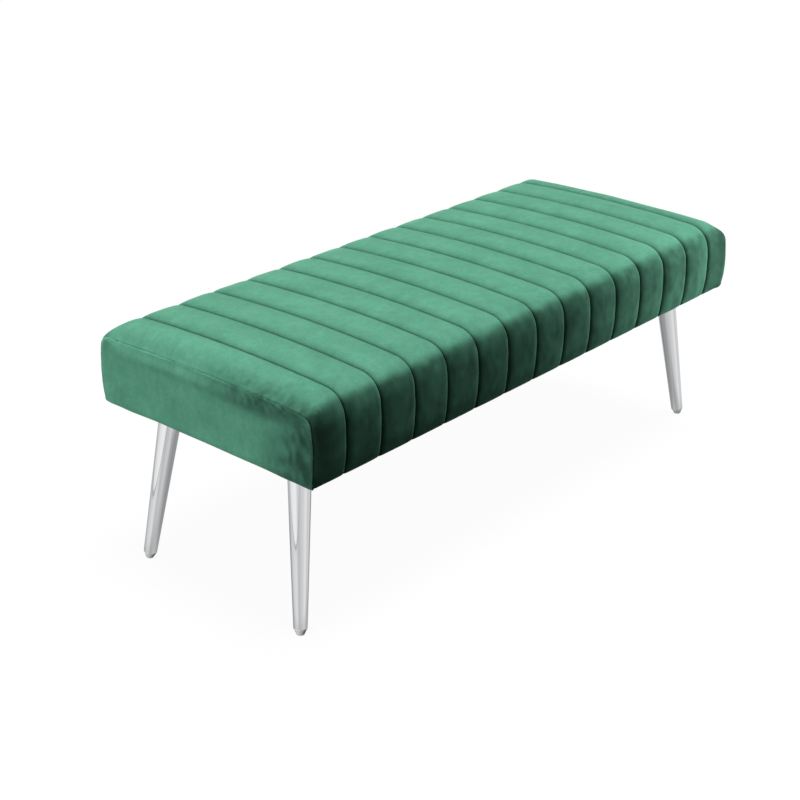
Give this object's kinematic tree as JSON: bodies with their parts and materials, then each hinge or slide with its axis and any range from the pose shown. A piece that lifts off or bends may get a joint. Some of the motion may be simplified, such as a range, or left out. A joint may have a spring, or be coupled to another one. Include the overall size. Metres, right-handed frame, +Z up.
{
  "type": "upholstered bench",
  "caption": "Long backless bench: a channel-quilted velvet seat with a rolled edge on splayed, tapered round chrome legs.",
  "frame": {"origin": "on the floor, under the middle of the seat", "axes": "+X along the seat to the right end, -Y is the front, +Z is up"},
  "size_m": [1.22, 0.5088, 0.4505],
  "materials": {
    "velvet": "short-pile woven velvet, quilted in channels",
    "dust_cloth": "thin black spun-bonded cloth",
    "wadding": "soft white polyester wadding",
    "foam": "open-cell upholstery foam, cut faces",
    "plywood": "unfinished plywood",
    "pine": "planed, unfinished",
    "chrome": "polished chrome plate",
    "zinc_steel": "bright zinc plate",
    "glide_plastic": "moulded, pale grey, slightly translucent"
  },
  "bodies": {
    "root": {"border_foam_back": "foam", "border_foam_front": "foam", "border_foam_left": "foam", "border_foam_right": "foam", "corner_block_back_left": "pine", "corner_block_back_right": "pine", "corner_block_front_left": "pine", "corner_block_front_right": "pine", "cover_staples": "zinc_steel", "cross_rail_1": "pine", "cross_rail_2": "pine", "deck_board": "plywood", "deck_screws": "zinc_steel", "dust_cover": "dust_cloth", "dust_cover_staples": "zinc_steel", "end_panel_left": "velvet", "end_panel_right": "velvet", "frame_screws": "zinc_steel", "leg_back_left_bolts": "zinc_steel", "leg_back_left_glide": "glide_plastic", "leg_back_left_plate": "chrome", "leg_back_left_tee_nuts": "zinc_steel", "leg_back_left_tube": "chrome", "leg_back_right_bolts": "zinc_steel", "leg_back_right_glide": "glide_plastic", "leg_back_right_plate": "chrome", "leg_back_right_tee_nuts": "zinc_steel", "leg_back_right_tube": "chrome", "leg_board_left": "pine", "leg_board_right": "pine", "leg_front_left_bolts": "zinc_steel", "leg_front_left_glide": "glide_plastic", "leg_front_left_plate": "chrome", "leg_front_left_tee_nuts": "zinc_steel", "leg_front_left_tube": "chrome", "leg_front_right_bolts": "zinc_steel", "leg_front_right_glide": "glide_plastic", "leg_front_right_plate": "chrome", "leg_front_right_tee_nuts": "zinc_steel", "leg_front_right_tube": "chrome", "quilted_cover": "velvet", "rail_back": "pine", "rail_front": "pine", "rail_left": "pine", "rail_right": "pine", "seat_foam": "foam", "wadding_wrap": "wadding"}
  },
  "joints": []
}
